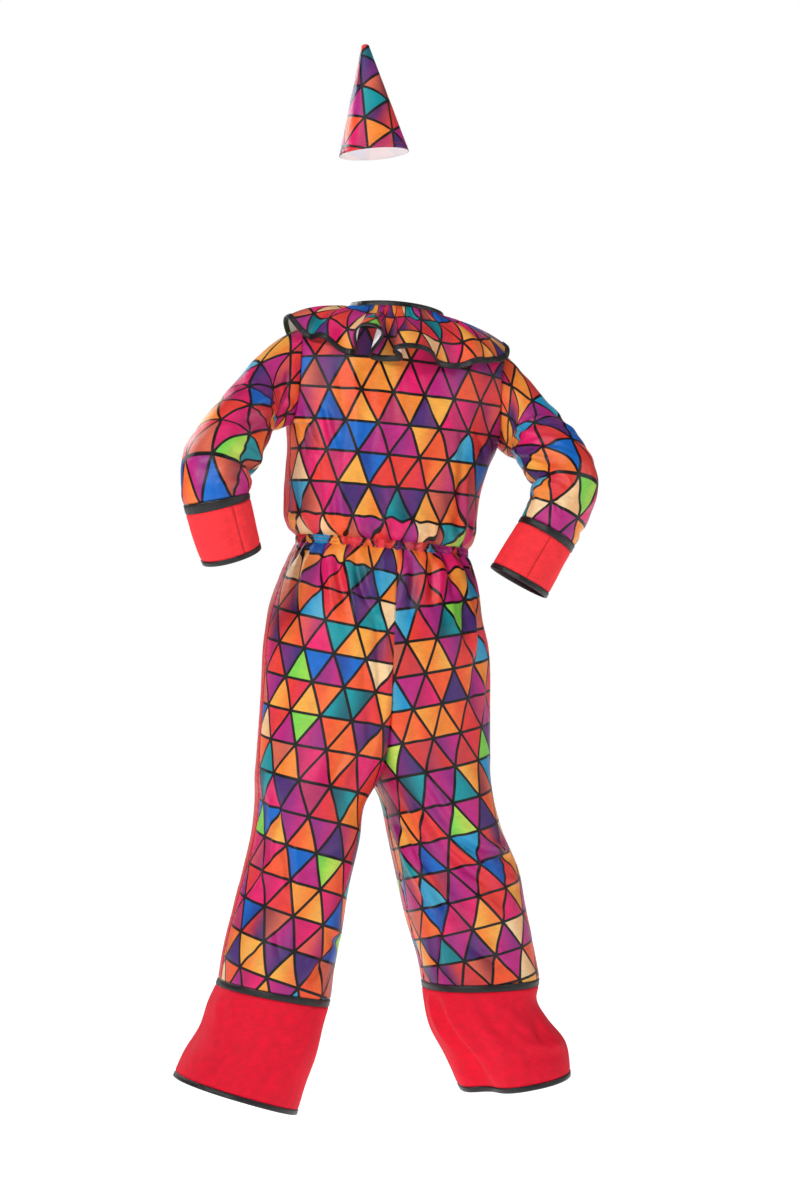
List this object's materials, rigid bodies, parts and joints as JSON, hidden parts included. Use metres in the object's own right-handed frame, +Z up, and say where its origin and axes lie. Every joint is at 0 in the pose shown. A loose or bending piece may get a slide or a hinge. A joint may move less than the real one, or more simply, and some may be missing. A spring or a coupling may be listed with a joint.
{
  "type": "clown costume",
  "caption": "Child's clown costume as worn by nobody: printed jumpsuit with a ruffled collar, red cuffs and leg bands, legs apart, hands on hips, and a pointed hat.",
  "frame": {"origin": "middle of the neck opening, where the wearer's neck holds the suit", "axes": "+Z up, +X to the wearer's left, -Y to the front"},
  "size_m": [0.5696, 0.3152, 1.4499],
  "materials": {
    "print": "satin",
    "red": "satin",
    "black": "satin"
  },
  "bodies": {
    "root": {"bodice_back": "print", "bodice_front_left": "red", "bodice_front_right": "print", "front_placket": "red", "waist_casing": "print", "neckband": "black", "collar_ruffle": "print", "collar_binding": "black", "hat_cone": "print", "sleeve_left": "print", "cuff_trim_top_left": "black", "cuff_left": "red", "cuff_trim_bottom_left": "black", "trouser_back_left": "print", "trouser_front_left": "red", "band_trim_top_left": "black", "leg_band_left": "red", "band_trim_bottom_left": "black", "sleeve_right": "print", "cuff_trim_top_right": "black", "cuff_right": "red", "cuff_trim_bottom_right": "black", "trouser_back_right": "print", "trouser_front_right": "print", "band_trim_top_right": "black", "leg_band_right": "red", "band_trim_bottom_right": "black"}
  },
  "joints": []
}
